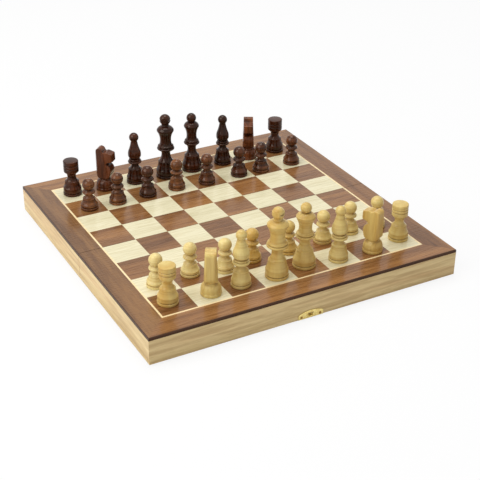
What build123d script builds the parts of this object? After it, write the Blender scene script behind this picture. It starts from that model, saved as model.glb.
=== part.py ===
from build123d import *
from math import cos, radians, sin
import os

# A folding wooden chess box, lying open with its playing surface up, and its 32 turned pieces.
# Millimetres. Z is up, X runs along the fold, and the light side sits at the front, towards -Y.
# The origin is on the table under the middle of the fold, where the hinge barrels touch.

# Board, driving dimensions
square = 30.0
saw_kerf = 1.0
string_width = 1.6
board_width = 284.0
half_depth = 141.5
fold_gap = 0.4
box_height = 24.0
wall_thickness = 7.0
panel_thickness = 2.2
veneer_thickness = 0.6
edge_softening = 0.5

# Hinges and nails, driving dimensions
barrel_radius = 1.1
barrel_clearance = 0.3
pin_radius = 0.5
pin_head_radius = 0.85
pin_head_thickness = 0.35
pin_end_room = 0.8
running_clearance = 0.05
leaf_thickness = 0.8
leaf_length = 30.0
leaf_edge_y = 6.2
leaf_drop = 0.05
knuckle_count = 5
knuckle_gap = 0.1
hinge_stations = (-88.0, 88.0)
nail_radius = 0.55
nail_head_radius = 1.2
nail_head_height = 0.6
nail_point = 0.6
nail_pitch = 9.0
nail_row_y = 4.3
leaf_nail_length = 5.0

# Clasp, driving dimensions
clasp_x = -1.0
clasp_reach = 2.3
clasp_nail_length = 4.5
clasp_nail_pitch = 17.4
clasp_nail_rise = 2.0
dome_height = 0.5
plate_width = 23.0
plate_height = 7.0
plate_shoulder = 4.4
plate_rim_gap = 0.05
plate_thickness = 0.5
nose_width = 4.0
nose_low = 2.0
nose_thickness = 0.4
nose_tip = 3.0
nose_slot_rise = 4.2
nose_slot_length = 5.5
nose_slot_width = 0.8
hasp_axis_out = 1.2
hasp_axis_up = 1.6
hasp_barrel_radius = 0.9
hasp_pin_radius = 0.4
hasp_pin_head_radius = 0.7
hasp_pin_head_thickness = 0.3
hasp_knuckle_length = 2.0
hasp_side_gap = 0.1
hasp_barrel_room = 0.3
hasp_width = 8.0
hasp_length = 6.2
hasp_thickness = 0.45
hasp_lie = plate_thickness + 0.05
window_near = 1.4
window_far = 4.85
window_width = 5.0
window_corner = 0.6

# Pieces, driving dimensions
pawn_height = 29.0
rook_height = 33.5
knight_height = 41.0
bishop_height = 49.5
queen_height = 57.5
king_height = 62.5
pawn_base = 8.0
minor_base = 8.6
royal_base = 9.7
finial_radius = 5.2
finial_flat = 4.3
notch_depth = 1.9
notch_half_height = 1.2
head_thickness = 9.0
head_back = -6.8
head_front = 9.9
head_bevel = 1.2
neck_height = 12.0
poll_radius = 3.6
girths = {"light": 1.0, "dark": 0.9}

# Heights that follow from the driving dimensions
rim_z = barrel_radius
wall_height = box_height - panel_thickness - veneer_thickness
panel_z = rim_z + wall_height
veneer_z = panel_z + panel_thickness
top_z = veneer_z + veneer_thickness
half_width = board_width / 2
inner_x = half_width - wall_thickness
inner_y = half_depth - wall_thickness
spine_face = fold_gap / 2
spine_inner = spine_face + wall_thickness

# The chequers are made as one sheet and sawn at the fold, so the middle ranks lose half the kerf
chequer_x = 4 * square
chequer_y = 4 * square - saw_kerf / 2

os.makedirs("parts", exist_ok=True)


def save(part, name):
    part.label = name
    export_step(part, f"parts/{name}.step")


def slab(corners, low, high):
    """Extrude a flat outline from one height to another inside the open part."""
    with BuildSketch(Plane.XY.offset(low)) as outline:
        with BuildLine():
            Polyline(*corners, close=True)
        make_face()
    extrude(outline.sketch, amount=high - low)


# The two trays: four mitred walls each, with the fold side's wall against its twin.
# side is -1 for the front tray and +1 for the back tray.

def hinge_notches(side):
    """Cut the room for the barrels and the seats for the leaves into a spine wall's rim."""
    for station in hinge_stations:
        barrel_room = barrel_radius + barrel_clearance
        with BuildSketch(Plane.XY.offset(rim_z)) as barrel_notch:
            with Locations((station, side * barrel_room / 2)):
                Rectangle(leaf_length + 2 * pin_end_room, barrel_room)
        extrude(barrel_notch.sketch, amount=barrel_room, mode=Mode.SUBTRACT)
        with BuildSketch(Plane.XY.offset(rim_z)) as leaf_seat:
            with Locations((station, side * (barrel_room + leaf_edge_y) / 2)):
                Rectangle(leaf_length, leaf_edge_y - barrel_room)
        extrude(leaf_seat.sketch, amount=leaf_thickness + leaf_drop, mode=Mode.SUBTRACT)


def nail_places(side):
    """Middles of the nails through the leaves of one tray, in plan."""
    for station in hinge_stations:
        for step in (-1, 0, 1):
            yield station + step * nail_pitch, side * nail_row_y


def long_wall(name, side, outer, inner, x_outer, x_inner):
    """A wall along X, mitred at both ends; its outer face is the one at outer."""
    with BuildPart() as wall:
        slab(
            [(-x_outer, outer), (x_outer, outer), (x_inner, inner), (-x_inner, inner)],
            rim_z,
            panel_z,
        )
        if name.endswith("spine_wall"):
            hinge_notches(side)
            for place in nail_places(side):
                with BuildSketch(Plane.XY.offset(rim_z)):
                    with Locations(place):
                        Circle(nail_radius)
                extrude(amount=leaf_drop + leaf_nail_length, mode=Mode.SUBTRACT)
        else:
            for place in clasp_nail_places():
                with BuildSketch(Plane(origin=(place[0], outer, place[1]), z_dir=(0, -side, 0))):
                    Circle(nail_radius)
                extrude(amount=clasp_nail_length, mode=Mode.SUBTRACT)
    save(wall.part, name)


def side_wall(name, side, hand):
    """A wall along Y at the left (hand -1) or right (hand +1), mitred at both ends."""
    with BuildPart() as wall:
        slab(
            [
                (hand * half_width, side * spine_face),
                (hand * half_width, side * half_depth),
                (hand * inner_x, side * inner_y),
                (hand * inner_x, side * spine_inner),
            ],
            rim_z,
            panel_z,
        )
    save(wall.part, name)


def clasp_nail_places():
    """Middles of the two nails of a clasp plate, along the wall and up it."""
    for step in (-0.5, 0.5):
        yield clasp_x + step * clasp_nail_pitch, rim_z + clasp_nail_rise


for half, side in (("front", -1), ("back", 1)):
    long_wall(f"{half}_wall", side, side * half_depth, side * inner_y, half_width, inner_x)
    long_wall(f"{half}_spine_wall", side, side * spine_face, side * spine_inner, half_width, inner_x)
    side_wall(f"{half}_left_wall", side, -1)
    side_wall(f"{half}_right_wall", side, 1)


# Each tray's top: a thin panel laid over the walls, its outer top edge a little softened
def make_panel(name, side):
    with BuildPart() as panel:
        slab(
            [
                (-half_width, side * spine_face),
                (half_width, side * spine_face),
                (half_width, side * half_depth),
                (-half_width, side * half_depth),
            ],
            panel_z,
            veneer_z,
        )
    save(panel.part, name)


for half, side in (("front", -1), ("back", 1)):
    make_panel(f"{half}_panel", side)


# The veneer on each half: three mitred border strips, three string lines and 32 squares
def mitred_frame(name, side, x_out, y_out, x_in, y_in, soften):
    """Three strips round one half, between an outer and an inner outline, mitred at the corners."""
    with BuildPart() as strips:
        slab(
            [
                (-x_out, side * y_out),
                (x_out, side * y_out),
                (x_in, side * y_in),
                (-x_in, side * y_in),
            ],
            veneer_z,
            top_z,
        )
        if soften:
            outer_edge = strips.edges().filter_by(Axis.X).group_by(Axis.Z)[-1].sort_by(Axis.Y)
            chamfer(outer_edge[0 if side < 0 else -1], soften)
    front_strip = strips.part
    ends = []
    for hand in (-1, 1):
        with BuildPart() as end_strip:
            slab(
                [
                    (hand * x_out, side * spine_face),
                    (hand * x_out, side * y_out),
                    (hand * x_in, side * y_in),
                    (hand * x_in, side * spine_face),
                ],
                veneer_z,
                top_z,
            )
            if soften:
                outer_edge = end_strip.edges().filter_by(Axis.Y).group_by(Axis.Z)[-1].sort_by(Axis.X)
                chamfer(outer_edge[0 if hand < 0 else -1], soften)
        ends.append(end_strip.part)
    save(Compound(children=[front_strip, *ends]), name)


def make_squares(name, side, parity):
    """The squares of one colour on one half, laid edge to edge with the other colour's."""
    with BuildPart() as squares:
        for column in range(8):
            for rank in range(4):
                if (column + rank + (0 if side < 0 else 1)) % 2 == parity:
                    left = (column - 4) * square
                    inner = max(rank * square - saw_kerf / 2, spine_face)
                    outer = (rank + 1) * square - saw_kerf / 2
                    slab(
                        [
                            (left, side * inner),
                            (left + square, side * inner),
                            (left + square, side * outer),
                            (left, side * outer),
                        ],
                        veneer_z,
                        top_z,
                    )
    save(squares.part, name)


for half, side in (("front", -1), ("back", 1)):
    string_x = chequer_x + string_width
    string_y = chequer_y + string_width
    mitred_frame(f"{half}_border", side, half_width, half_depth, string_x, string_y, edge_softening)
    mitred_frame(f"{half}_string", side, string_x, string_y, chequer_x, chequer_y, 0)
    make_squares(f"{half}_light_squares", side, 0)
    make_squares(f"{half}_dark_squares", side, 1)


# Two small butt hinges: leaves let into the rims, their knuckles rolled round one pin.
# The front leaves have the odd knuckles and the back leaves the even ones.
def make_leaves(name, side, own_knuckles):
    knuckle_pitch = leaf_length / knuckle_count
    plate_edge = barrel_radius + 0.1
    tab_edge = 0.6
    with BuildPart() as leaves:
        for station in hinge_stations:
            with BuildSketch(Plane.XY.offset(rim_z + leaf_drop)):
                with Locations((station, side * (plate_edge + leaf_edge_y) / 2)):
                    Rectangle(leaf_length, leaf_edge_y - plate_edge)
                for knuckle in own_knuckles:
                    middle = station + (knuckle - (knuckle_count - 1) / 2) * knuckle_pitch
                    with Locations((middle, side * (tab_edge + plate_edge) / 2)):
                        Rectangle(knuckle_pitch - knuckle_gap, plate_edge - tab_edge)
            extrude(amount=leaf_thickness)
            for knuckle in own_knuckles:
                middle = station + (knuckle - (knuckle_count - 1) / 2) * knuckle_pitch
                with BuildSketch(Plane.YZ.offset(middle)):
                    with Locations((0, rim_z)):
                        Circle(barrel_radius)
                extrude(amount=(knuckle_pitch - knuckle_gap) / 2, both=True)
            with BuildSketch(Plane.YZ.offset(station)):
                with Locations((0, rim_z)):
                    Circle(pin_radius + running_clearance)
            extrude(amount=leaf_length, both=True, mode=Mode.SUBTRACT)
        for place in nail_places(side):
            with BuildSketch(Plane.XY.offset(rim_z + leaf_drop)):
                with Locations(place):
                    Circle(nail_head_radius)
            with BuildSketch(Plane.XY.offset(rim_z + leaf_drop + nail_head_height)):
                with Locations(place):
                    Circle(nail_radius)
            loft(mode=Mode.SUBTRACT)
            with BuildSketch(Plane.XY.offset(rim_z + leaf_drop)):
                with Locations(place):
                    Circle(nail_radius)
            extrude(amount=leaf_thickness, mode=Mode.SUBTRACT)
    save(leaves.part, name)


make_leaves("front_hinge_leaves", -1, range(0, knuckle_count, 2))
make_leaves("back_hinge_leaves", 1, range(1, knuckle_count, 2))

# One pin per hinge, with a peened head against each end knuckle
with BuildPart() as hinge_pins:
    for station in hinge_stations:
        with BuildSketch(Plane.YZ.offset(station)):
            with Locations((0, rim_z)):
                Circle(pin_radius)
        extrude(amount=leaf_length / 2, both=True)
        knuckle_end = (leaf_length - knuckle_gap) / 2
        for end in (-1, 1):
            with BuildSketch(Plane.YZ.offset(station + end * knuckle_end)):
                with Locations((0, rim_z)):
                    Circle(pin_head_radius)
            extrude(amount=end * pin_head_thickness)
save(hinge_pins.part, "hinge_pins")


# The clasp. Its sections are drawn looking along the wall: first number out from the wall's
# face, second number up from the rim.
def clasp_section(side):
    return Plane(origin=(clasp_x, side * half_depth, rim_z), x_dir=(0, side, 0), z_dir=(side, 0, 0))


def clasp_face(side):
    return Plane(origin=(clasp_x, side * half_depth, rim_z), x_dir=(-side, 0, 0), z_dir=(0, side, 0))


def arched_plate(side):
    """The stamped brass plate that both halves carry: straight at the rim, arched above."""
    with BuildSketch(clasp_face(side)) as outline:
        with BuildLine():
            Polyline(
                (-plate_width / 2, plate_shoulder),
                (-plate_width / 2, plate_rim_gap),
                (plate_width / 2, plate_rim_gap),
                (plate_width / 2, plate_shoulder),
            )
            ThreePointArc(
                (plate_width / 2, plate_shoulder),
                (0, plate_height),
                (-plate_width / 2, plate_shoulder),
            )
        make_face()
        with Locations(*[(step * clasp_nail_pitch, clasp_nail_rise) for step in (-0.5, 0.5)]):
            Circle(nail_radius, mode=Mode.SUBTRACT)
    extrude(outline.sketch, amount=plate_thickness)


# The catch on the front half has a nose bent out and up, with the slot it was pressed from
with BuildPart() as catch_plate:
    arched_plate(-1)
    with BuildSketch(clasp_section(-1)):
        with BuildLine():
            Polyline(
                (plate_thickness, nose_low),
                (clasp_reach - nose_thickness, nose_low),
                (clasp_reach, nose_low + nose_thickness),
                (clasp_reach, nose_tip),
                (clasp_reach - nose_thickness, nose_tip),
                (clasp_reach - nose_thickness, nose_low + nose_thickness),
                (plate_thickness, nose_low + nose_thickness),
                close=True,
            )
        make_face()
    extrude(amount=nose_width / 2, both=True)
    with BuildSketch(clasp_face(-1)):
        with Locations((0, nose_slot_rise)):
            SlotOverall(nose_slot_length, nose_slot_width)
    extrude(amount=plate_thickness, mode=Mode.SUBTRACT)
save(catch_plate.part, "catch_plate")

# The hasp plate on the back half carries two knuckles, cut away between them for the hasp's own
with BuildPart() as hasp_plate:
    arched_plate(1)
    with BuildSketch(clasp_face(1)):
        with Locations((0, hasp_axis_up)):
            Rectangle(hasp_width + 2 * hasp_side_gap, 2 * (hasp_barrel_radius + hasp_barrel_room))
    extrude(amount=plate_thickness, mode=Mode.SUBTRACT)
    for hand in (-1, 1):
        knuckle_start = hasp_width / 2 + hasp_side_gap
        knuckle_plane = clasp_section(1).offset(hand * (knuckle_start + hasp_knuckle_length / 2))
        with BuildSketch(knuckle_plane):
            with Locations((hasp_axis_out, hasp_axis_up)):
                Circle(hasp_barrel_radius)
        extrude(amount=hasp_knuckle_length / 2, both=True)
    with BuildSketch(clasp_section(1)):
        with Locations((hasp_axis_out, hasp_axis_up)):
            Circle(hasp_pin_radius + running_clearance)
    extrude(amount=plate_width, both=True, mode=Mode.SUBTRACT)
save(hasp_plate.part, "hasp_plate")

# The hasp's pin, headed at both ends
with BuildPart() as hasp_pin:
    pin_half = hasp_width / 2 + hasp_side_gap + hasp_knuckle_length
    with BuildSketch(clasp_section(1)):
        with Locations((hasp_axis_out, hasp_axis_up)):
            Circle(hasp_pin_radius)
    extrude(amount=pin_half, both=True)
    for hand in (-1, 1):
        with BuildSketch(clasp_section(1).offset(hand * pin_half)):
            with Locations((hasp_axis_out, hasp_axis_up)):
                Circle(hasp_pin_head_radius)
        extrude(amount=hand * hasp_pin_head_thickness)
save(hasp_pin.part, "hasp_pin")

# The swinging hasp: a stamped loop whose window passes over the nose.
# It is drawn as it lies with the board open, folded up against its plate.
with BuildPart() as hasp_loop:
    with BuildSketch(clasp_section(1)):
        with Locations((hasp_axis_out, hasp_axis_up)):
            Circle(hasp_barrel_radius)
    extrude(amount=hasp_width / 2, both=True)
    with BuildSketch(clasp_section(1)):
        with BuildLine():
            loop_top = hasp_axis_up + hasp_length
            Polyline(
                (hasp_lie, hasp_axis_up),
                (hasp_lie, loop_top),
                (hasp_lie + hasp_thickness, loop_top),
                (hasp_lie + hasp_thickness, hasp_axis_up),
                close=True,
            )
        make_face()
    extrude(amount=hasp_width / 2, both=True)
    with BuildSketch(clasp_face(1)):
        with Locations((0, hasp_axis_up + (window_near + window_far) / 2)):
            RectangleRounded(window_width, window_far - window_near, window_corner)
    extrude(amount=hasp_lie + 2 * hasp_thickness, mode=Mode.SUBTRACT)
    with BuildSketch(clasp_section(1)):
        with Locations((hasp_axis_out, hasp_axis_up)):
            Circle(hasp_pin_radius + running_clearance)
    extrude(amount=plate_width, both=True, mode=Mode.SUBTRACT)
save(hasp_loop.part, "hasp_loop")


# Brass nails of one half: flush ones through the leaves and domed ones through the clasp plate
def make_nails(name, side):
    shank_end = rim_z + leaf_drop + leaf_nail_length - nail_point
    with BuildPart() as nails:
        for place in nail_places(side):
            upright = Plane(origin=(place[0], place[1], 0), x_dir=(1, 0, 0), z_dir=(0, -1, 0))
            head = rim_z + leaf_drop
            with BuildSketch(upright):
                with BuildLine():
                    Polyline(
                        (0, head),
                        (nail_head_radius, head),
                        (nail_radius, head + nail_head_height),
                        (nail_radius, shank_end),
                        (0, shank_end + nail_point),
                        close=True,
                    )
                make_face()
            revolve(axis=Axis((place[0], place[1], 0), (0, 0, 1)))
        for place in clasp_nail_places():
            face = side * half_depth
            across = Plane(origin=(place[0], face, place[1]), x_dir=(0, 0, 1), z_dir=(-side, 0, 0))
            tip = nail_point - clasp_nail_length
            with BuildSketch(across):
                with BuildLine():
                    Polyline(
                        (0, plate_thickness + dome_height),
                        (0, tip),
                        (nail_radius, tip + nail_point),
                        (nail_radius, plate_thickness),
                        (nail_head_radius, plate_thickness),
                        (0.8 * nail_head_radius, plate_thickness + 0.7 * dome_height),
                        (0.4 * nail_head_radius, plate_thickness + dome_height),
                        close=True,
                    )
                make_face()
            revolve(axis=Axis((place[0], face, place[1]), (0, 1, 0)))
    save(nails.part, name)


make_nails("front_nails", -1)
make_nails("back_nails", 1)


# The turned pieces. Each outline is drawn as half a section, radius first and height second,
# and is turned about the piece's own axis.
def swell(start, end, bulge):
    """An arc between two points that stands out from its chord by bulge, or in if negative."""
    chord = Vector(*end) - Vector(*start)
    middle = (Vector(*start) + Vector(*end)) / 2
    outward = Vector(chord.Y, -chord.X).normalized()
    ThreePointArc(start, middle + outward * bulge, end)


def foot(base_radius, bell_height, step_radius, step_height, neck_radius, neck_height):
    """The lower half that all pieces share: base disc, groove, bell, step and hollow neck."""
    bell_radius = base_radius - 0.3
    Polyline(
        (0, 0),
        (base_radius - 0.4, 0),
        (base_radius, 0.5),
        (base_radius, 2.2),
        (base_radius - 0.8, 2.7),
        (bell_radius, 3.2),
        (bell_radius, bell_height),
    )
    swell((bell_radius, bell_height), (step_radius, step_height), -0.5)
    ledge_radius = step_radius - 0.6
    Line((step_radius, step_height), (ledge_radius, step_height + 0.5))
    swell((ledge_radius, step_height + 0.5), (neck_radius, neck_height), -0.35)


def ball(neck_radius, radius, height):
    """A ball on top of a neck, up to the piece's full height; returns where it starts."""
    middle = height - radius
    start = middle - (radius**2 - neck_radius**2) ** 0.5
    ThreePointArc((neck_radius, start), (radius, middle), (0, height))
    return (neck_radius, start)


def pawn_outline():
    foot(pawn_base, 5.0, 5.6, 10.5, 3.6, 14.6)
    Line((3.6, 14.6), (5.3, 15.3))
    swell((5.3, 15.3), (5.3, 17.3), 0.5)
    ball_start = ball(3.2, 5.6, pawn_height)
    Line((5.3, 17.3), ball_start)
    Line((0, pawn_height), (0, 0))


def rook_outline():
    foot(minor_base, 7.0, 6.4, 13.5, 4.2, 19.0)
    swell((4.2, 19.0), (6.6, 22.6), -0.5)
    Polyline(
        (6.6, 22.6),
        (6.9, 23.2),
        (6.9, 26.2),
        (6.6, 26.5),
        (6.9, 26.8),
        (6.9, 28.8),
        (6.6, 29.1),
        (6.9, 29.4),
        (6.9, rook_height - 0.4),
        (6.5, rook_height),
        (0, rook_height),
        (0, 0),
    )


def bishop_outline(girth):
    foot(minor_base - 0.3, 6.0, 6.2, 14.0, 3.9 * girth, 19.2)
    Line((3.9 * girth, 19.2), (6.4 * girth, 20.0))
    swell((6.4 * girth, 20.0), (6.4 * girth, 22.0), 0.6)
    Line((6.4 * girth, 22.0), (5.4 * girth, 22.4))
    swell((5.4 * girth, 22.4), (5.4 * girth, 24.0), 0.5)
    Line((5.4 * girth, 24.0), (4.4 * girth, 24.6))
    swell((4.4 * girth, 24.6), (6.2 * girth, 33.0), 2.0)
    swell((6.2 * girth, 33.0), (3.4 * girth, 41.2), 0.3)
    ball_start = ball(3.0, 4.4, bishop_height)
    Line((3.4 * girth, 41.2), ball_start)
    Line((0, bishop_height), (0, 0))


def queen_outline(girth):
    foot(royal_base, 7.0, 7.0, 15.5, 4.8 * girth, 23.0)
    swell((4.8 * girth, 23.0), (7.6 * girth, 27.2), -0.6)
    swell((7.6 * girth, 27.2), (7.6 * girth, 28.9), 0.6)
    Line((7.6 * girth, 28.9), (6.7 * girth, 29.3))
    swell((6.7 * girth, 29.3), (6.7 * girth, 31.0), 0.6)
    Line((6.7 * girth, 31.0), (5.8 * girth, 31.8))
    swell((5.8 * girth, 31.8), (7.9 * girth, 44.4), -1.3)
    Line((7.9 * girth, 44.4), (7.9 * girth, 45.6))
    ball_start = ball(2.8, 4.6, queen_height)
    swell((7.9 * girth, 45.6), ball_start, 0.7)
    Line((0, queen_height), (0, 0))


def king_outline(girth):
    foot(royal_base, 7.5, 7.3, 16.0, 5.0 * girth, 24.5)
    swell((5.0 * girth, 24.5), (8.4 * girth, 28.0), -0.6)
    swell((8.4 * girth, 28.0), (8.4 * girth, 29.8), 0.6)
    Line((8.4 * girth, 29.8), (7.6 * girth, 30.2))
    swell((7.6 * girth, 30.2), (7.6 * girth, 32.0), 0.6)
    Line((7.6 * girth, 32.0), (6.5 * girth, 32.8))
    swell((6.5 * girth, 32.8), (8.8 * girth, 46.4), -1.5)
    Line((8.8 * girth, 46.4), (8.8 * girth, 47.6))
    swell((8.8 * girth, 47.6), (3.6, 51.2), 0.6)
    ball_start = ball(3.4, finial_radius, king_height)
    Line((3.6, 51.2), ball_start)
    Line((0, king_height), (0, 0))


def turned_piece(name, x, y, outline, *girth):
    """Turn a piece on its own axis; the outlines that have a girth take it as a share."""
    with BuildPart() as piece:
        with BuildSketch(Plane(origin=(x, y, top_z), x_dir=(1, 0, 0), z_dir=(0, -1, 0))):
            with BuildLine():
                outline(*girth)
            make_face()
        revolve(axis=Axis((x, y, 0), (0, 0, 1)))
    save(piece.part, name)


# The king's ball finial is carved into a plain cross: flats on two sides, a notch in the others
def king_piece(name, x, y, girth, notch_facing):
    middle = top_z + king_height - finial_radius
    notch_mouth = finial_radius + 0.4
    across = (cos(radians(notch_facing)), sin(radians(notch_facing)), 0)
    along = (sin(radians(notch_facing)), -cos(radians(notch_facing)), 0)
    with BuildPart() as piece:
        with BuildSketch(Plane(origin=(x, y, top_z), x_dir=(1, 0, 0), z_dir=(0, -1, 0))):
            with BuildLine():
                king_outline(girth)
            make_face()
        revolve(axis=Axis((x, y, 0), (0, 0, 1)))
        for hand in (-1, 1):
            with BuildSketch(Plane(origin=(x, y, middle), x_dir=across, z_dir=along)):
                with BuildLine():
                    Polyline(
                        (hand * notch_mouth, notch_half_height),
                        (hand * (finial_radius - notch_depth), 0),
                        (hand * notch_mouth, -notch_half_height),
                        close=True,
                    )
                make_face()
            extrude(amount=finial_radius, both=True, mode=Mode.SUBTRACT)
            with BuildSketch(Plane(origin=(x, y, middle), x_dir=along, z_dir=across)):
                with Locations((hand * (finial_flat + 1), 0.5)):
                    Rectangle(2, 2 * finial_radius)
            extrude(amount=finial_radius, both=True, mode=Mode.SUBTRACT)
    save(piece.part, name)


# The knight: a turned foot and neck, and a flat head sawn and carved from the same blank.
# The head's outline is drawn from the side, forward first and up second.
def head_outline():
    poll_top = (-3.2, knight_height)
    poll_side = knight_height - poll_radius
    ThreePointArc((-4.4, neck_height), (-6.6, 14.6), (head_back, 18.0))
    Line((head_back, 18.0), (head_back, poll_side))
    ThreePointArc((head_back, poll_side), (-5.8, knight_height - 1.1), poll_top)
    ThreePointArc(poll_top, (-0.6, knight_height - 1.1), (0.3, 37.4))
    Polyline((0.3, 37.4), (3.6, 37.9), (9.4, 35.8), (head_front, 29.8), (4.6, 28.4), (3.2, 26.9))
    ThreePointArc((3.2, 26.9), (7.4, 23.0), (7.2, 17.0))
    ThreePointArc((7.2, 17.0), (6.4, 14.0), (4.4, neck_height))
    Line((4.4, neck_height), (-4.4, neck_height))


def knight_piece(name, x, y, facing):
    forward = (cos(radians(facing)), sin(radians(facing)), 0)
    sideways = (sin(radians(facing)), -cos(radians(facing)), 0)
    side_view = Plane(origin=(x, y, top_z), x_dir=forward, z_dir=sideways)
    with BuildPart() as piece:
        with BuildSketch(side_view):
            with BuildLine():
                head_outline()
            make_face()
        extrude(amount=head_thickness / 2, both=True)
        with BuildSketch(Plane(origin=(x, y, top_z + neck_height), x_dir=forward)) as blank:
            with Locations(((head_front + head_back) / 2, 0)):
                Rectangle(head_front - head_back, head_thickness)
            chamfer(blank.vertices(), head_bevel)
        extrude(amount=knight_height, mode=Mode.INTERSECT)
        with BuildSketch(side_view):
            with BuildLine():
                Polyline(
                    (0, 0),
                    (minor_base - 0.4, 0),
                    (minor_base, 0.5),
                    (minor_base, 2.2),
                    (minor_base - 0.8, 2.7),
                    (minor_base - 0.4, 3.2),
                )
                swell((minor_base - 0.4, 3.2), (6.4, 9.6), 0.8)
                Polyline((6.4, 9.6), (5.2, 10.2), (5.0, 11.2), (5.6, neck_height))
                Polyline((5.6, neck_height), (5.2, neck_height + 1.2), (0, neck_height + 1.2), (0, 0))
            make_face()
        revolve(axis=Axis((x, y, 0), (0, 0, 1)))
    save(piece.part, name)


# How far each piece stands from the middle of its square, to the right and away, as set by hand
light_back_rank = [
    ("rook", -3.0, 1.5),
    ("knight", 2.5, -2.5),
    ("bishop", -0.5, -2.0),
    ("king", 1.5, -3.5),
    ("queen", 0.0, 1.0),
    ("bishop", 0.0, -4.0),
    ("knight", 3.5, -5.0),
    ("rook", 4.5, 2.0),
]
dark_back_rank = [
    ("rook", -1.0, 1.5),
    ("knight", 0.0, -2.0),
    ("bishop", 0.0, -2.5),
    ("king", 1.0, -4.5),
    ("queen", -1.0, -2.5),
    ("bishop", 1.5, -3.5),
    ("knight", -0.5, -4.0),
    ("rook", 0.5, -2.0),
]
light_pawn_places = [
    (-0.5, -1.5), (1.0, 1.5), (-1.0, -5.5), (-3.5, -1.0),
    (-0.5, -3.5), (5.0, -1.5), (4.0, 1.5), (0.0, -1.0),
]
dark_pawn_places = [
    (2.0, -2.5), (-1.0, -3.5), (-1.0, -3.0), (-1.5, -2.5),
    (-1.5, -5.0), (3.0, -4.5), (-4.0, -5.5), (0.5, -4.5),
]
knight_facings = {"light_knight_b": 61, "light_knight_g": 115, "dark_knight_b": -45, "dark_knight_g": -118}
outlines = {"bishop": bishop_outline, "queen": queen_outline}
files = "abcdefgh"
rank_middles = {1: -3.5 * square, 2: -2.5 * square, 7: 2.5 * square, 8: 3.5 * square}
notch_facings = {"light": -55, "dark": -35}


def square_middle(column, rank):
    middle_y = rank_middles[rank]
    half_kerf = saw_kerf / 2
    return (column - 3.5) * square, middle_y + (half_kerf if middle_y < 0 else -half_kerf)


for colour, back_rank, home_rank in (("light", light_back_rank, 1), ("dark", dark_back_rank, 8)):
    for column, (kind, right, away) in enumerate(back_rank):
        middle_x, middle_y = square_middle(column, home_rank)
        name = f"{colour}_{kind}_{files[column]}"
        x, y = middle_x + right, middle_y + away
        if kind == "knight":
            knight_piece(name, x, y, knight_facings[name])
        elif kind == "king":
            king_piece(name, x, y, girths[colour], notch_facings[colour])
        elif kind == "rook":
            turned_piece(name, x, y, rook_outline)
        else:
            turned_piece(name, x, y, outlines[kind], girths[colour])

for colour, places, pawn_rank in (("light", light_pawn_places, 2), ("dark", dark_pawn_places, 7)):
    for column, (right, away) in enumerate(places):
        middle_x, middle_y = square_middle(column, pawn_rank)
        turned_piece(f"{colour}_pawn_{files[column]}", middle_x + right, middle_y + away, pawn_outline)
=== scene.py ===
import math

import bmesh
import bpy
from mathutils import Matrix, Vector


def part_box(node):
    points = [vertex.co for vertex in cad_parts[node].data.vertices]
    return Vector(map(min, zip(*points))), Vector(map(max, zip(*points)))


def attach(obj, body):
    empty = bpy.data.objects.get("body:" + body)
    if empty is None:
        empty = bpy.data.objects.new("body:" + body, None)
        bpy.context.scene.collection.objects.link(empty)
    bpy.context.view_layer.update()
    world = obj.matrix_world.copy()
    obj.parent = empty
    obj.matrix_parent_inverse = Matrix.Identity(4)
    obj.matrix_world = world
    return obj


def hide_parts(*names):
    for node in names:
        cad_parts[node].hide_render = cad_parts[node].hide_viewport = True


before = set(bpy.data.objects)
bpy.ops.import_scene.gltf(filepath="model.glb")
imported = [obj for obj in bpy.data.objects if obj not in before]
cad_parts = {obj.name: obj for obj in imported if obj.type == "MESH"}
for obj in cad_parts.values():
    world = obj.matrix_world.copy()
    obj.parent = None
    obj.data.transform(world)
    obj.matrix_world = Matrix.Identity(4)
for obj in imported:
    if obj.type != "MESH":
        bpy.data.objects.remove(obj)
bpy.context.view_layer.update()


# The tray walls: pale paulownia-like boards, planed, mitred at the corners and given one thin
# coat of satin lacquer. The grain runs along each board, so no end grain shows at the corners.
def tone(red, green, blue):
    """A colour as read off a finished surface, 0 to 255, turned into linear light."""
    linear = []
    for value in (red, green, blue):
        share = value / 255
        linear.append(share / 12.92 if share <= 0.04045 else ((share + 0.055) / 1.055) ** 2.4)
    return (*linear, 1.0)


white = tone(255, 255, 255)


def fitted(tree, kind, **settings):
    """A shader node with its settings and its unlinked inputs filled in."""
    made = tree.nodes.new(kind)
    for name, value in settings.items():
        if hasattr(made, name) and name not in made.inputs:
            setattr(made, name, value)
        else:
            made.inputs[name].default_value = value
    return made


stretches = {"X": (0.06, 1, 1), "Y": (1, 0.06, 1), "Z": (1, 1, 0.06), "turned": (0.04, 0.04, 1)}


def sawn(tree, along, offset=None):
    """Coordinates stretched along the grain, 'X', 'Y' or 'Z', or round a turned piece, 'turned'."""
    place = fitted(tree, "ShaderNodeTexCoord")
    source = place.outputs["Object"]
    if offset is not None:
        shifted = fitted(tree, "ShaderNodeVectorMath", operation="ADD")
        tree.links.new(source, shifted.inputs[0])
        tree.links.new(offset, shifted.inputs[1])
        source = shifted.outputs[0]
    stretch = fitted(tree, "ShaderNodeMapping")
    stretch.inputs["Scale"].default_value = stretches[along]
    tree.links.new(source, stretch.inputs["Vector"])
    return stretch.outputs["Vector"]


def noise(tree, vector, scale, detail, roughness):
    """Soft noise; the higher its scale, the finer the figure."""
    made = fitted(tree, "ShaderNodeTexNoise", Scale=scale, Detail=detail, Roughness=roughness)
    tree.links.new(vector, made.inputs["Vector"])
    return made.outputs["Fac"]


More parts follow.
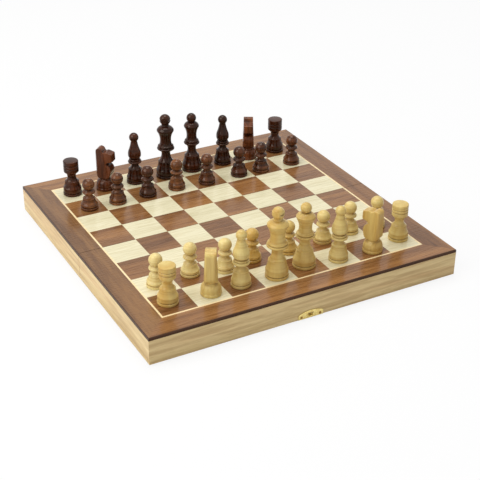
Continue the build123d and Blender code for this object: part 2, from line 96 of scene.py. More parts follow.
def shades(tree, factor, stops):
    """A colour ramp through (position, colour) stops."""
    ramp = fitted(tree, "ShaderNodeValToRGB")
    bar = ramp.color_ramp
    while len(bar.elements) < len(stops):
        bar.elements.new(0.5)
    for element, (position, colour) in zip(bar.elements, stops):
        element.position = position
        element.color = colour
    tree.links.new(factor, ramp.inputs["Fac"])
    return ramp.outputs["Color"]


def mixed(tree, factor, first, second, blend="MIX"):
    """Two colours mixed; each input is a socket or a plain colour, factor a socket or a number."""
    made = tree.nodes.new("ShaderNodeMix")
    made.data_type = "RGBA"
    made.blend_type = blend
    made.clamp_factor = True
    for socket, value in ((made.inputs[0], factor), (made.inputs[6], first), (made.inputs[7], second)):
        if isinstance(value, bpy.types.NodeSocket):
            tree.links.new(value, socket)
        else:
            socket.default_value = value
    return made.outputs[2]


def reckoned(tree, operation, first, second=0):
    """A sum worked out in the shader; first and second are sockets or numbers."""
    made = tree.nodes.new("ShaderNodeMath")
    made.operation = operation
    for socket, value in zip(made.inputs, (first, second)):
        if isinstance(value, bpy.types.NodeSocket):
            tree.links.new(value, socket)
        else:
            socket.default_value = value
    return made.outputs[0]


def bare_material(name):
    """A new material, its node tree and its main shader."""
    material = bpy.data.materials.new(name)
    material.use_nodes = True
    tree = material.node_tree
    return material, tree, tree.nodes["Principled BSDF"]


warm_shine = (1.0, 0.84, 0.68, 1.0)
grain_relief = 0.0002


def finish_wood(tree, shader, colour, grain, roughness, coat, coat_roughness, bump, shine=0.3):
    """Wires the colour, a grain-led roughness and a shallow grain relief into the shader."""
    tree.links.new(colour, shader.inputs["Base Color"])
    gloss = fitted(tree, "ShaderNodeMapRange")
    gloss.inputs["To Min"].default_value = roughness * 0.85
    gloss.inputs["To Max"].default_value = roughness * 1.2
    tree.links.new(grain, gloss.inputs["Value"])
    tree.links.new(gloss.outputs["Result"], shader.inputs["Roughness"])
    shader.inputs["Specular IOR Level"].default_value = shine
    shader.inputs["Specular Tint"].default_value = warm_shine
    shader.inputs["Coat Weight"].default_value = coat
    shader.inputs["Coat Roughness"].default_value = coat_roughness
    relief = fitted(tree, "ShaderNodeBump", Strength=bump, Distance=grain_relief)
    tree.links.new(grain, relief.inputs["Height"])
    tree.links.new(relief.outputs["Normal"], shader.inputs["Normal"])


def pale_board(name, along, shade):
    """Board stock: shade holds its three main tones; darker growth lines run along the grain."""
    material, tree, shader = bare_material(name)
    grain_place = sawn(tree, along)
    bands = noise(tree, grain_place, 55, 4, 0.5)
    lines = noise(tree, grain_place, 260, 5, 0.6)
    fibres = noise(tree, grain_place, 1600, 3, 0.6)
    base = shades(tree, bands, [(0.30, shade[0]), (0.52, shade[1]), (0.70, shade[2])])
    lined = shades(tree, lines, [(0.38, tone(170, 130, 80)), (0.56, white)])
    colour = mixed(tree, 0.38, base, lined, "MULTIPLY")
    flecks = shades(tree, fibres, [(0.35, tone(196, 170, 130)), (0.6, white)])
    colour = mixed(tree, 0.22, colour, flecks, "MULTIPLY")
    finish_wood(tree, shader, colour, fibres, 0.42, 0.15, 0.25, 0.25)
    return material


def dress(node, material):
    """Gives a CAD piece its finish."""
    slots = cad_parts[node].data.materials
    slots.clear()
    slots.append(material)


wall_shades = (tone(206, 180, 126), tone(224, 200, 148), tone(216, 182, 130))
board_along_x = pale_board("pale_board_along_x", "X", wall_shades)
board_along_y = pale_board("pale_board_along_y", "Y", wall_shades)
corner_ease = 0.00018
for half in ("front", "back"):
    for wall, stock in (
        ("wall", board_along_x),
        ("spine_wall", board_along_x),
        ("left_wall", board_along_y),
        ("right_wall", board_along_y),
    ):
        node = f"{half}_{wall}"
        dress(node, stock)
        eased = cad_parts[node].modifiers.new("eased_edges", "BEVEL")
        eased.width = corner_ease
        eased.segments = 2
        eased.limit_method = "ANGLE"


# The two top panels: thin boards glued over the walls. Only their edge shows, stained dark to
# run in with the veneer, and their bare underside inside the trays.
def panel_stock():
    material, tree, shader = bare_material("panel_board")
    grain_place = sawn(tree, "X")
    grain = noise(tree, grain_place, 420, 4, 0.6)
    edge = shades(tree, grain, [(0.3, tone(46, 24, 10)), (0.7, tone(78, 44, 20))])
    inside = shades(tree, grain, [(0.3, tone(206, 178, 136)), (0.7, tone(222, 198, 158))])
    facing = fitted(tree, "ShaderNodeNewGeometry")
    split = fitted(tree, "ShaderNodeSeparateXYZ")
    tree.links.new(facing.outputs["Normal"], split.inputs[0])
    downward = reckoned(tree, "LESS_THAN", split.outputs["Z"], -0.7)
    colour = mixed(tree, downward, edge, inside)
    finish_wood(tree, shader, colour, grain, 0.42, 0.1, 0.2, 0.2, 0.15)
    return material


panel_board = panel_stock()
for half in ("front", "back"):
    dress(f"{half}_panel", panel_board)


# The border: walnut veneer strips mitred at the corners, each with its grain along it. Their
# outer edge is stained with the panel's edge. One gloss lacquer runs over the whole top.
border_half_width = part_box("front_border")[1].x
border_half_depth = -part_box("front_border")[0].y
lacquer_roughness = 0.27
paler_front = 0.14
left_strip_painted_shade = tone(222, 226, 228)
stained_edge = tone(62, 34, 16)


walnut_stops = [
    (0.25, tone(118, 78, 42)),
    (0.45, tone(142, 98, 56)),
    (0.62, tone(160, 113, 66)),
    (0.8, tone(166, 116, 64)),
]


def walnut_colour(tree, grain_place, shift=0):
    """Walnut figure: broad streaks, dark growth lines and fine pores."""
    bands = noise(tree, grain_place, 42, 3, 0.5)
    lines = noise(tree, grain_place, 170, 5, 0.62)
    pores = noise(tree, grain_place, 1300, 3, 0.6)
    bands = reckoned(tree, "ADD", bands, shift)
    base = shades(tree, bands, walnut_stops)
    streaks = shades(tree, lines, [(0.34, tone(150, 118, 96)), (0.58, white)])
    colour = mixed(tree, 0.55, base, streaks, "MULTIPLY")
    flecks = shades(tree, pores, [(0.36, tone(150, 120, 100)), (0.55, white)])
    return mixed(tree, 0.35, colour, flecks, "MULTIPLY"), pores


def border_veneer():
    material, tree, shader = bare_material("border_walnut")
    place = fitted(tree, "ShaderNodeTexCoord")
    split = fitted(tree, "ShaderNodeSeparateXYZ")
    tree.links.new(place.outputs["Object"], split.inputs[0])
    sideways = reckoned(tree, "ABSOLUTE", split.outputs["X"])
    lengthways = reckoned(tree, "ABSOLUTE", split.outputs["Y"])
    past_side = reckoned(tree, "SUBTRACT", sideways, border_half_width)
    past_front = reckoned(tree, "SUBTRACT", lengthways, border_half_depth)
    on_side = reckoned(tree, "GREATER_THAN", past_side, past_front)
    across, pores = walnut_colour(tree, sawn(tree, "X"), paler_front)
    away = walnut_colour(tree, sawn(tree, "Y"))[0]
    # Painted shade: the left strip is darkened and cooled to stand for the darker reflection it shows.
    on_left = reckoned(tree, "LESS_THAN", split.outputs["X"], -border_half_width * 0.8)
    away = mixed(tree, on_left, away, mixed(tree, 1.0, away, left_strip_painted_shade, "MULTIPLY"))
    top = mixed(tree, on_side, across, away)
    facing = fitted(tree, "ShaderNodeNewGeometry")
    tilt = fitted(tree, "ShaderNodeSeparateXYZ")
    tree.links.new(facing.outputs["Normal"], tilt.inputs[0])
    level = reckoned(tree, "GREATER_THAN", tilt.outputs["Z"], 0.9)
    colour = mixed(tree, level, stained_edge, top)
    finish_wood(tree, shader, colour, pores, lacquer_roughness, 0.3, 0.12, 0.08)
    return material


walnut_border = border_veneer()
for half in ("front", "back"):
    dress(f"{half}_border", walnut_border)


# The stringing: a thin pale maple line let in between the border and the chequers, mitred where
# it turns a corner and lacquered with the rest.
def stringing():
    material, tree, shader = bare_material("maple_stringing")
    grain = noise(tree, sawn(tree, "X"), 500, 4, 0.6)
    colour = shades(tree, grain, [(0.3, tone(238, 212, 160)), (0.7, tone(250, 230, 184))])
    finish_wood(tree, shader, colour, grain, lacquer_roughness, 0.3, 0.12, 0.05)
    return material


maple_stringing = stringing()
for half in ("front", "back"):
    dress(f"{half}_string", maple_stringing)


# The chequers: 64 squares of maple and walnut veneer, cut from different strips, so the tone and
# the figure jump from square to square, and lacquered flush.
square = 0.030
half_kerf = 0.0005


def square_marks(tree):
    """A random colour and number that are the same all over one square of the board."""
    place = fitted(tree, "ShaderNodeTexCoord")
    split = fitted(tree, "ShaderNodeSeparateXYZ")
    tree.links.new(place.outputs["Object"], split.inputs[0])
    side = reckoned(tree, "SIGN", split.outputs["Y"])
    unsawn = reckoned(tree, "ADD", split.outputs["Y"], reckoned(tree, "MULTIPLY", side, half_kerf))
    column = reckoned(tree, "FLOOR", reckoned(tree, "DIVIDE", split.outputs["X"], square))
    rank = reckoned(tree, "FLOOR", reckoned(tree, "DIVIDE", unsawn, square))
    cell = fitted(tree, "ShaderNodeCombineXYZ")
    tree.links.new(column, cell.inputs["X"])
    tree.links.new(rank, cell.inputs["Y"])
    draw = fitted(tree, "ShaderNodeTexWhiteNoise")
    tree.links.new(cell.outputs[0], draw.inputs["Vector"])
    return draw.outputs["Color"], draw.outputs["Value"]


def dark_square_veneer():
    material, tree, shader = bare_material("walnut_squares")
    offset, draw = square_marks(tree)
    shift = reckoned(tree, "MULTIPLY", reckoned(tree, "SUBTRACT", draw, 0.35), 0.22)
    colour, pores = walnut_colour(tree, sawn(tree, "X", offset), shift)
    finish_wood(tree, shader, colour, pores, lacquer_roughness, 0.3, 0.12, 0.08)
    return material


maple_stops = [(0.35, tone(216, 208, 172)), (0.6, tone(229, 222, 188)), (0.85, tone(235, 228, 196))]


def light_square_veneer():
    material, tree, shader = bare_material("maple_squares")
    offset, draw = square_marks(tree)
    grain_place = sawn(tree, "X", offset)
    shift = reckoned(tree, "MULTIPLY", draw, 0.16)
    bands = reckoned(tree, "ADD", noise(tree, grain_place, 60, 3, 0.5), shift)
    base = shades(tree, bands, maple_stops)
    fibres = noise(tree, grain_place, 900, 4, 0.6)
    flecks = shades(tree, fibres, [(0.35, tone(222, 208, 172)), (0.6, white)])
    colour = mixed(tree, 0.35, base, flecks, "MULTIPLY")
    finish_wood(tree, shader, colour, fibres, lacquer_roughness, 0.3, 0.12, 0.06)
    return material


walnut_squares = dark_square_veneer()
maple_squares = light_square_veneer()
for half in ("front", "back"):
    dress(f"{half}_dark_squares", walnut_squares)
    dress(f"{half}_light_squares", maple_squares)


# The brass: stamped leaves, plates and nails, brass plated and slightly dulled where the
# lacquer has worn, with small bright scuffs.
scuff_relief = 0.0001
recess_shade_reach = 0.0015
rolled_edge = 0.00012


def stamped_brass(name, bright, dull, roughness):
    material, tree, shader = bare_material(name)
    place = fitted(tree, "ShaderNodeTexCoord")
    clouds = noise(tree, place.outputs["Object"], 420, 4, 0.6)
    # Painted shade: the brass is darkened where ambient occlusion finds it close to the wood or folded into
    # its own hollows.
    recess = fitted(tree, "ShaderNodeAmbientOcclusion", samples=8, Distance=recess_shade_reach)
    painted_recess_shade = shades(tree, recess.outputs["AO"], [(0.3, tone(110, 84, 40)), (0.8, white)])
    scuffs = noise(tree, place.outputs["Object"], 2600, 3, 0.7)
    colour = mixed(tree, 1.0, shades(tree, clouds, [(0.35, dull), (0.6, bright)]), painted_recess_shade, "MULTIPLY")
    tree.links.new(colour, shader.inputs["Base Color"])
    shader.inputs["Metallic"].default_value = 1.0
    wear = fitted(tree, "ShaderNodeMapRange")
    wear.inputs["To Min"].default_value = roughness * 0.7
    wear.inputs["To Max"].default_value = roughness * 1.5
    tree.links.new(scuffs, wear.inputs["Value"])
    tree.links.new(wear.outputs["Result"], shader.inputs["Roughness"])
    relief = fitted(tree, "ShaderNodeBump", Strength=0.2, Distance=scuff_relief)
    tree.links.new(scuffs, relief.inputs["Height"])
    tree.links.new(relief.outputs["Normal"], shader.inputs["Normal"])
    return material


plate_brass = stamped_brass("plate_brass", tone(246, 228, 156), tone(224, 198, 122), 0.34)
nail_brass = stamped_brass("nail_brass", tone(176, 140, 76), tone(110, 80, 38), 0.4)
for node in ("front_hinge_leaves", "back_hinge_leaves", "catch_plate", "hasp_plate", "hasp_loop"):
    dress(node, plate_brass)
for node in ("front_nails", "back_nails", "hinge_pins", "hasp_pin"):
    dress(node, nail_brass)
for node in ("catch_plate", "hasp_plate", "hasp_loop"):
    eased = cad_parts[node].modifiers.new("rolled_edges", "BEVEL")
    eased.width = rolled_edge
    eased.segments = 2
    eased.limit_method = "ANGLE"


# The turned pieces: beech for the light side and stained beech for the dark side, turned with
# the grain upright, sanded and dipped in lacquer. Sizes below are in millimetres, radius first.
millimetre = 0.001
groove_shade_reach = 0.0045
lathe_segments = 72
sanded_ease = 0.14
sharp_angle = math.radians(38)
pawn_height = 29.0
rook_height = 33.5
bishop_height = 49.5
queen_height = 57.5
pawn_base = 8.0
rook_base = 8.6
bishop_base = 8.3
royal_base = 9.7


def piece_wood(
    name, stops, line_tone, line_share, groove_shade_tone, roughness, coat, coat_roughness, marks="turned"
):
    """Wood for one side's pieces; marks says whether the tool went round it or along the grain."""
    material, tree, shader = bare_material(name)
    offset, draw = square_marks(tree)
    grain_place = sawn(tree, "Z", offset)
    bands = noise(tree, grain_place, 90, 4, 0.55)
    shift = reckoned(tree, "MULTIPLY", reckoned(tree, "SUBTRACT", draw, 0.5), 0.45)
    base = shades(tree, reckoned(tree, "ADD", bands, shift), stops)
    lines = noise(tree, grain_place, 300, 3, 0.5)
    streaks = shades(tree, lines, [(0.36, line_tone), (0.6, white)])
    colour = mixed(tree, line_share * 0.5, base, streaks, "MULTIPLY")
    rings = noise(tree, sawn(tree, marks, offset), 620, 3, 0.6)
    ringed = shades(tree, rings, [(0.36, line_tone), (0.56, white)])
    colour = mixed(tree, line_share, colour, ringed, "MULTIPLY")
    # Painted shade: ambient occlusion on the piece alone darkens the wood in its grooves, under its beads
    # and in the hollows of the knights' heads.
    recess = fitted(tree, "ShaderNodeAmbientOcclusion", samples=8, only_local=True, Distance=groove_shade_reach)
    painted_groove_shade = shades(tree, recess.outputs["AO"], [(0.25, groove_shade_tone), (0.95, white)])
    colour = mixed(tree, 0.8, colour, painted_groove_shade, "MULTIPLY")
    finish_wood(tree, shader, colour, rings, roughness, coat, coat_roughness, 0.05, 0.2)
    return material


light_stops = [(0.2, tone(206, 170, 92)), (0.5, tone(222, 198, 124)), (0.8, tone(234, 216, 150))]
light_wood = piece_wood(
    "light_turned_wood",
    light_stops,
    tone(205, 168, 100),
    0.3,
    tone(140, 96, 40),
    0.34,
    0.25,
    0.15,
)
dark_stops = [(0.2, tone(44, 18, 8)), (0.5, tone(82, 39, 18)), (0.85, tone(136, 76, 40))]
dark_wood = piece_wood(
    "dark_turned_wood",
    dark_stops,
    tone(90, 60, 45),
    0.6,
    tone(90, 60, 45),
    0.17,
    0.14,
    0.06,
)
dark_pawn_wood = piece_wood(
    "dark_pawn_wood",
    [(0.15, tone(56, 25, 11)), (0.45, tone(98, 54, 28)), (0.8, tone(150, 96, 54))],
    tone(96, 66, 46),
    0.7,
    tone(90, 60, 45),
    0.19,
    0.2,
    0.08,
)
piece_woods = {"light": light_wood, "dark": dark_wood}
pawn_woods = {"light": light_wood, "dark": dark_pawn_wood}


def straight(outline, *corners):
    """Straight runs from the outline's last point through the corners."""
    outline.extend(corners)


def bead(outline, end, bulge, steps=9):
    """An arc from the outline's last point to end, standing out from its chord by bulge."""
    start = Vector(outline[-1])
    chord = Vector(end) - start
    outward = Vector((chord.y, -chord.x)).normalized()
    radius = (chord.length / 2) ** 2 / (2 * abs(bulge)) + abs(bulge) / 2
    sign = 1 if bulge > 0 else -1
    centre = (start + Vector(end)) / 2 + outward * sign * (abs(bulge) - radius)
    spread = 2 * math.asin(min(1.0, chord.length / 2 / radius))
    if abs(bulge) > radius:
        spread = 2 * math.pi - spread
    arm = start - centre
    for step in range(1, steps + 1):
        turn = sign * spread * step / steps
        outline.append(tuple(centre + Matrix.Rotation(turn, 2) @ arm))


def ball(outline, radius, height, steps=16):
    """A ball on the outline's last point, up to the piece's full height."""
    middle = height - radius
    neck_radius, neck_height = outline[-1]
    first = math.atan2(neck_height - middle, neck_radius)
    for step in range(1, steps + 1):
        turn = first + (math.pi / 2 - first) * step / steps
        outline.append((radius * math.cos(turn), middle + radius * math.sin(turn)))


def ball_foot(neck_radius, radius, height):
    """Where a ball starts on its neck."""
    return (neck_radius, height - radius - math.sqrt(radius**2 - neck_radius**2))


def foot(outline, base_radius, bell_height, step_radius, step_height, neck_radius, neck_height):
    """The lower half all pieces share: base disc, groove, bell, step and hollow neck."""
    bell_radius = base_radius - 0.3
    straight(
        outline,
        (0, 0),
        (base_radius - 0.4, 0),
        (base_radius, 0.5),
        (base_radius, 2.2),
        (base_radius - 1.1, 2.7),
        (bell_radius, 3.3),
        (bell_radius, bell_height),
    )
    bead(outline, (step_radius, step_height), -0.5)
    straight(outline, (step_radius - 0.8, step_height + 0.4))
    bead(outline, (neck_radius, neck_height), -0.7)


def softened(outline):
    """The outline with its sharp corners sanded round."""
    nothing = 1e-6
    slight_turn = 0.4
    result = [outline[0]]
    for before, here, after in zip(outline, outline[1:], outline[2:]):
        arrive = Vector(here) - Vector(before)
        leave = Vector(after) - Vector(here)
        no_corner = min(arrive.length, leave.length, here[0]) < nothing
        if no_corner or arrive.angle(leave) < slight_turn:
            result.append(here)
            continue
        start = Vector(here) - arrive.normalized() * min(sanded_ease, arrive.length * 0.45)
        end = Vector(here) + leave.normalized() * min(sanded_ease, leave.length * 0.45)
        for share in (0.0, 0.33, 0.67, 1.0):
            towards_corner = start.lerp(Vector(here), share)
            away_again = Vector(here).lerp(end, share)
            result.append(tuple(towards_corner.lerp(away_again, share)))
    result.append(outline[-1])
    return result


def turn_on_lathe(name, outline, centre, foot_height):
    """A closed turned solid about an upright axis, as a mesh object."""
    mesh = bpy.data.meshes.new(name)
    work = bmesh.new()
    rings = []
    for radius, height in outline:
        lift = foot_height + height * millimetre
        if radius < 1e-6:
            rings.append([work.verts.new((centre[0], centre[1], lift))])
            continue
        ring = []
        for step in range(lathe_segments):
            turn = 2 * math.pi * step / lathe_segments
            out_x = radius * millimetre * math.cos(turn)
            out_y = radius * millimetre * math.sin(turn)
            ring.append(work.verts.new((centre[0] + out_x, centre[1] + out_y, lift)))
        rings.append(ring)
    for lower, upper in zip(rings, rings[1:]):
        for step in range(lathe_segments):
            following = (step + 1) % lathe_segments
            if len(lower) == 1 and len(upper) == 1:
                continue
            if len(lower) == 1:
                work.faces.new((lower[0], upper[following], upper[step]))
            elif len(upper) == 1:
                work.faces.new((lower[step], lower[following], upper[0]))
            else:
                work.faces.new((lower[step], lower[following], upper[following], upper[step]))
    bmesh.ops.recalc_face_normals(work, faces=work.faces)
    work.to_mesh(mesh)
    work.free()
    mesh.polygons.foreach_set("use_smooth", [True] * len(mesh.polygons))
    mesh.set_sharp_from_angle(angle=sharp_angle)
    piece = bpy.data.objects.new(name, mesh)
    bpy.context.scene.collection.objects.link(piece)
    return piece


def stand_in_for(piece, node, material):
    """Hands a finished piece to the board in place of its plain solid."""
    piece.data.materials.clear()
    piece.data.materials.append(material)
    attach(piece, f"{node}_piece")
    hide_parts(node)


def node_foot(node):
    """Where a round piece's axis stands, and the height of its foot."""
    low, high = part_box(node)
    return ((low.x + high.x) / 2, (low.y + high.y) / 2), low.z


def pawn_outline():
    outline = []
    foot(outline, pawn_base, 5.0, 5.6, 10.5, 3.4, 14.6)
    straight(outline, (5.3, 15.3))
    bead(outline, (5.3, 17.3), 0.5)
    straight(outline, ball_foot(3.2, 5.6, pawn_height))
    ball(outline, 5.6, pawn_height)
    return outline


def rook_outline():
    outline = []
    foot(outline, rook_base, 7.0, 6.4, 13.5, 4.0, 19.0)
    bead(outline, (6.6, 22.6), -0.5)
    straight(outline, (6.9, 23.2))
    for groove in (26.5, 29.1):
        straight(outline, (6.9, groove - 0.5), (6.3, groove), (6.9, groove + 0.5))
    straight(outline, (6.9, rook_height - 0.4), (6.5, rook_height), (0, rook_height))
    return outline


def bishop_outline(girth):
    outline = []
    foot(outline, bishop_base, 6.0, 6.2, 14.0, 3.7 * girth, 19.2)
    straight(outline, (6.4 * girth, 20.0))
    bead(outline, (6.4 * girth, 22.0), 0.6)
    straight(outline, (5.4 * girth, 22.4))
    bead(outline, (5.4 * girth, 24.0), 0.5)
    straight(outline, (4.4 * girth, 24.6))
    bead(outline, (6.7 * girth, 28.0), 0.7)
    bead(outline, (6.2 * girth, 32.0), 0.2)
    bead(outline, (3.3 * girth, 41.4), -0.3)
    straight(outline, ball_foot(3.0, 4.4, bishop_height))
    ball(outline, 4.4, bishop_height)
    return outline


def queen_outline(girth):
    outline = []
    foot(outline, royal_base, 7.0, 7.0, 15.5, 4.4 * girth, 23.0)
    bead(outline, (7.6 * girth, 27.2), -0.6)
    bead(outline, (7.6 * girth, 28.9), 0.6)
    straight(outline, (6.7 * girth, 29.3))
    bead(outline, (6.7 * girth, 31.0), 0.6)
    straight(outline, (5.8 * girth, 31.8))
    bead(outline, (7.9 * girth, 44.4), -1.3)
    straight(outline, (7.9 * girth, 45.6))
    bead(outline, ball_foot(2.8, 4.6, queen_height), 0.7)
    ball(outline, 4.6, queen_height)
    return outline


files = "abcdefgh"
back_rank = ("rook", "knight", "bishop", "king", "queen", "bishop", "knight", "rook")
girthed_outlines = {"bishop": bishop_outline, "queen": queen_outline}
girths = {"light": 1.0, "dark": 0.9}
for colour in ("light", "dark"):
    for column, kind in enumerate(back_rank):
        if kind not in ("rook", *girthed_outlines):
            continue
        node = f"{colour}_{kind}_{files[column]}"
        centre, foot_height = node_foot(node)
        outline = rook_outline() if kind == "rook" else girthed_outlines[kind](girths[colour])
        piece = turn_on_lathe(f"turned_{node}", softened(outline), centre, foot_height)
        stand_in_for(piece, node, piece_woods[colour])
    for letter in files:
        node = f"{colour}_pawn_{letter}"
        centre, foot_height = node_foot(node)
        piece = turn_on_lathe(f"turned_{node}", softened(pawn_outline()), centre, foot_height)
        stand_in_for(piece, node, pawn_woods[colour])


# The kings: turned like the rest, then the ball finial is carved into a plain cross with a flat
# on two sides and a notch filed into the other two.
king_height = 62.5
finial_radius = 5.2
finial_flat = 4.3
notch_depth = 1.9
notch_half_height = 1.6
flat_low = -4.7
flat_high = 5.7
carved_angle = math.radians(32)
carved_ease = 0.25
notch_facings = {"light": -55, "dark": -35}


def king_outline(girth):
    outline = []
    foot(outline, royal_base, 7.5, 7.3, 16.0, 4.6 * girth, 24.5)
    bead(outline, (8.4 * girth, 28.0), -0.6)
    bead(outline, (8.4 * girth, 29.8), 0.6)
    straight(outline, (7.6 * girth, 30.2))
    bead(outline, (7.6 * girth, 32.0), 0.6)
    straight(outline, (6.5 * girth, 32.8))
    bead(outline, (8.8 * girth, 46.4), -1.5)
    straight(outline, (8.8 * girth, 47.6))
    bead(outline, (3.6, 51.2), 0.6)
    straight(outline, ball_foot(3.4, finial_radius, king_height))
    ball(outline, finial_radius, king_height)
    return outline


def carve(piece, corners, thickness, place):
    """Cuts a prism out of piece, drawn in the place's X and Z and reaching thickness each way in Y."""
    mesh = bpy.data.meshes.new("cutter")
    work = bmesh.new()
    near = [work.verts.new(Vector((x, -thickness, z)) * millimetre) for x, z in corners]
    far = [work.verts.new(Vector((x, thickness, z)) * millimetre) for x, z in corners]
    work.faces.new(near)
    work.faces.new(reversed(far))
    for step in range(len(corners)):
        following = (step + 1) % len(corners)
        work.faces.new((near[step], far[step], far[following], near[following]))
    bmesh.ops.recalc_face_normals(work, faces=work.faces)
    work.to_mesh(mesh)
    work.free()
    cutter = bpy.data.objects.new("cutter", mesh)
    cutter.matrix_world = place
    bpy.context.scene.collection.objects.link(cutter)
    bpy.context.view_layer.update()
    cut = piece.modifiers.new("cut", "BOOLEAN")
    cut.operation = "DIFFERENCE"
    cut.solver = "EXACT"
    cut.object = cutter
    graph = bpy.context.evaluated_depsgraph_get()
    result = bpy.data.meshes.new_from_object(piece.evaluated_get(graph))
    piece.modifiers.clear()
    piece.data = result
    bpy.data.objects.remove(cutter)


for colour in ("light", "dark"):
    node = f"{colour}_king_d"
    centre, foot_height = node_foot(node)
    piece = turn_on_lathe(f"turned_{node}", softened(king_outline(girths[colour])), centre, foot_height)
    middle = foot_height + (king_height - finial_radius) * millimetre
    facing = Matrix.Rotation(math.radians(notch_facings[colour]), 4, "Z")
    place = Matrix.Translation((*centre, middle)) @ facing
    flat_place = place @ Matrix.Rotation(math.pi / 2, 4, "Z")
    reach = finial_radius + 0.4
    for hand in (-1, 1):
        mouth = hand * reach
        bottom = hand * (finial_radius - notch_depth)
        carve(piece, [(mouth, notch_half_height), (bottom, 0), (mouth, -notch_half_height)], reach, place)
        near_face = hand * finial_flat
        clear = hand * (finial_flat + 2)
        side = [(near_face, flat_low), (clear, flat_low), (clear, flat_high), (near_face, flat_high)]
        carve(piece, side, reach, flat_place)
    piece.data.set_sharp_from_angle(angle=carved_angle)
    eased = piece.modifiers.new("sanded", "BEVEL")
    eased.width = carved_ease * millimetre
    eased.segments = 2
    eased.limit_method = "ANGLE"
    eased.angle_limit = carved_angle
    stand_in_for(piece, node, piece_woods[colour])


# The knights: a turned foot and neck with a flat head sawn from the same blank, its nape and
# face bevelled and its mouth cut in from the front. The whole is sanded soft before lacquering.
knight_facings = {"light_knight_b": 61, "light_knight_g": 115, "dark_knight_b": -45, "dark_knight_g": -118}
head_back = -6.8
head_front = 9.9
head_half_thickness = 4.5
head_bevel = 1.2
neck_height = 12.0
poll_heights = {"light": 38.9, "dark": 41.0}
knight_base = 8.6
neck_flare = 0.24
flare_height = 16.0
blank_voxel = 0.0004


def head_side_view(poll_height):
    """The head's outline from the side, in millimetres, forward first and up second."""
    outline = [(-4.4, neck_height)]
    bead(outline, (head_back, 18.0), -1.08, 6)
    straight(outline, (head_back, poll_height - 3.6))
    bead(outline, (-3.2, poll_height), -1.05, 8)
    bead(outline, (0.3, 37.0), -0.25 * (poll_height - 36.6), 8)
    straight(outline, (3.6, 37.9), (9.4, 36.2), (head_front, 29.2), (4.6, 27.6), (3.0, 25.9))
    bead(outline, (7.2, 17.0), -2.4, 8)
    bead(outline, (4.4, neck_height), -0.77, 6)
    return outline


def knight_foot():
    """The turned foot, up into the head's blank so that the two make one body."""
    outline = []
    straight(outline, (0, 0), (knight_base - 0.4, 0), (knight_base, 0.5), (knight_base, 2.2))
    straight(outline, (knight_base - 0.8, 2.7), (knight_base - 0.4, 3.2))
    bead(outline, (6.4, 9.6), 0.8)
    straight(outline, (5.2, 10.2), (5.0, 11.2), (5.6, neck_height))
    straight(outline, (5.2, neck_height + 1.2), (0, neck_height + 1.2))
    return outline


def knight_head(place, poll_height):
    """The head sawn from its side view, its long corners bevelled, as a mesh set in place."""
    mesh = bpy.data.meshes.new("head")
    work = bmesh.new()
    outline = head_side_view(poll_height)
    thick = head_half_thickness * millimetre
    near, far = [], []
    for x, z in outline:
        flare = 1 + neck_flare * max(0.0, 1 - (z - neck_height) / flare_height)
        near.append(work.verts.new((x * millimetre, -thick * flare, z * millimetre)))
        far.append(work.verts.new((x * millimetre, thick * flare, z * millimetre)))
    work.faces.new(near)
    work.faces.new(list(reversed(far)))
    for step in range(len(outline)):
        following = (step + 1) % len(outline)
        work.faces.new((near[step], far[step], far[following], near[following]))
    bmesh.ops.triangulate(work, faces=work.faces[:])
    for end in (head_back, head_front):
        for hand in (-1, 1):
            forward = 1 if end > 0 else -1
            normal = Vector((forward, hand, 0)).normalized()
            corner = Vector((end - forward * head_bevel, hand * head_half_thickness, 0)) * millimetre
            everything = work.verts[:] + work.edges[:] + work.faces[:]
            cut = bmesh.ops.bisect_plane(
                work, geom=everything, plane_co=corner, plane_no=normal, clear_outer=True
            )
            rim = [edge for edge in cut["geom_cut"] if isinstance(edge, bmesh.types.BMEdge)]
            bmesh.ops.contextual_create(work, geom=rim)
    bmesh.ops.recalc_face_normals(work, faces=work.faces)
    work.transform(place)
    work.to_mesh(mesh)
    work.free()
    return mesh


def knight_middle(node, facing):
    """Where a knight's axis stands: its box reaches as far as its foot or its turned head does."""
    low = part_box(node)[0]
    turn = Matrix.Rotation(math.radians(facing), 2)
    reach = [Vector((-knight_base, -knight_base))]
    for end in (head_back, head_front):
        inset = head_bevel if end > 0 else -head_bevel
        for hand in (-1, 1):
            reach.append(turn @ Vector((end, hand * (head_half_thickness - head_bevel))))
            reach.append(turn @ Vector((end - inset, hand * head_half_thickness)))
    low_x = min(point.x for point in reach) * millimetre
    low_y = min(point.y for point in reach) * millimetre
    return (low.x - low_x, low.y - low_y), low.z


knight_woods = {
    "light": piece_wood(
        "light_carved_wood", light_stops, tone(205, 168, 100), 0.3, tone(140, 96, 40), 0.34, 0.25, 0.15, "Z"
    ),
    "dark": piece_wood(
        "dark_carved_wood", dark_stops, tone(110, 75, 55), 0.6, tone(90, 60, 45), 0.2, 0.14, 0.08, "Z"
    ),
}
for node, facing in knight_facings.items():
    colour = node.split("_")[0]
    centre, foot_height = knight_middle(node, facing)
    place = Matrix.Translation((*centre, foot_height)) @ Matrix.Rotation(math.radians(facing), 4, "Z")
    piece = turn_on_lathe(f"carved_{node}", softened(knight_foot()), centre, foot_height)
    joined = bmesh.new()
    joined.from_mesh(piece.data)
    joined.from_mesh(knight_head(place, poll_heights[colour]))
    joined.to_mesh(piece.data)
    joined.free()
    blank = piece.modifiers.new("one_blank", "REMESH")
    blank.mode = "VOXEL"
    blank.voxel_size = blank_voxel
    sanded = piece.modifiers.new("sanded", "SMOOTH")
    sanded.iterations = 3
    sanded.factor = 0.5
    graph = bpy.context.evaluated_depsgraph_get()
    shaped = bpy.data.meshes.new_from_object(piece.evaluated_get(graph))
    piece.modifiers.clear()
    piece.data = shaped
    piece.data.polygons.foreach_set("use_smooth", [True] * len(piece.data.polygons))
    stand_in_for(piece, node, knight_woods[colour])


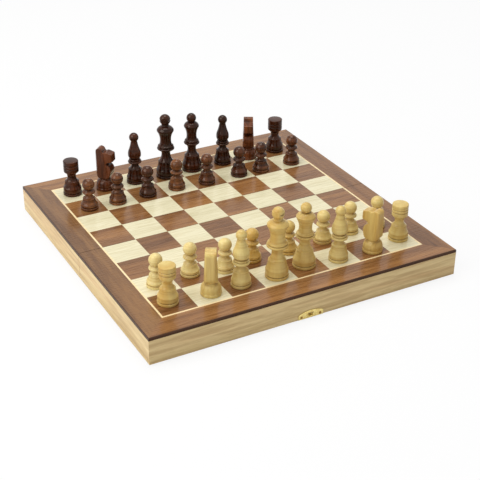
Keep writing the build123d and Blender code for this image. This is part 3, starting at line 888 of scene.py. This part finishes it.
# The table: a plain white sheet, with the light tent round it seen as white. The floor keeps a
# faint shadow of the board.
floor_half = 3.0
floor_whiteness = 0.86
seen_as_white = 0.86
floor_mesh = bpy.data.meshes.new("floor")
signs = ((-1, -1), (1, -1), (1, 1), (-1, 1))
floor_mesh.from_pydata([(x * floor_half, y * floor_half, 0) for x, y in signs], [], [(0, 1, 2, 3)])
floor = bpy.data.objects.new("floor", floor_mesh)
bpy.context.scene.collection.objects.link(floor)
floor_material, tree, shader = bare_material("white_sheet")
shader.inputs["Base Color"].default_value = (floor_whiteness, floor_whiteness, floor_whiteness, 1)
shader.inputs["Roughness"].default_value = 0.9
glow = fitted(tree, "ShaderNodeEmission", Strength=1.0)
seen = fitted(tree, "ShaderNodeLightPath")
whiteness = reckoned(tree, "MULTIPLY", seen.outputs["Is Camera Ray"], seen_as_white)
blend = fitted(tree, "ShaderNodeMixShader")
tree.links.new(whiteness, blend.inputs["Fac"])
tree.links.new(shader.outputs[0], blend.inputs[1])
tree.links.new(glow.outputs[0], blend.inputs[2])
tree.links.new(blend.outputs[0], tree.nodes["Material Output"].inputs["Surface"])
floor_mesh.materials.append(floor_material)

# The light tent: white where it is seen or mirrored, gentler where it lights the board, with one
# soft lamp from the left and one overhead.
scene = bpy.context.scene
world = bpy.data.worlds.new("light_tent")
scene.world = world
world.use_nodes = True
tree = world.node_tree
backdrop = tree.nodes["Background"]
backdrop.inputs["Color"].default_value = (1, 1, 1, 1)
seen = fitted(tree, "ShaderNodeLightPath")
white_rays = reckoned(tree, "MAXIMUM", seen.outputs["Is Camera Ray"], seen.outputs["Is Glossy Ray"])
fill_level = 0.36
strength = reckoned(tree, "ADD", reckoned(tree, "MULTIPLY", white_rays, 1 - fill_level), fill_level)
tree.links.new(strength, backdrop.inputs["Strength"])


def softbox(name, place, width, watts):
    """A square lamp at place, aimed at the middle of the board."""
    lamp = bpy.data.lights.new(name, "AREA")
    lamp.shape = "SQUARE"
    lamp.size = width
    lamp.energy = watts
    holder = bpy.data.objects.new(name, lamp)
    holder.location = place
    holder.rotation_euler = (-Vector(place)).to_track_quat("-Z", "Y").to_euler()
    scene.collection.objects.link(holder)


softbox("softbox_left", (-1.3, -0.1, 1.05), 1.3, 18)
softbox("softbox_above", (0.1, 0.3, 1.6), 1.0, 14)

# The camera: a long lens from the front left and above. The viewpoint comes from the board's own
# squares and edges in the photograph.
camera_data = bpy.data.cameras.new("camera")
camera_data.lens = 84.2
camera_data.sensor_width = 36
camera_data.clip_start = 0.01
camera = bpy.data.objects.new("camera", camera_data)
camera.location = (-0.4114, -0.7751, 0.4940)
camera.rotation_euler = (math.radians(60.669), math.radians(-0.383), math.radians(-28.398))
scene.collection.objects.link(camera)
scene.camera = camera
scene.view_settings.view_transform = "Standard"
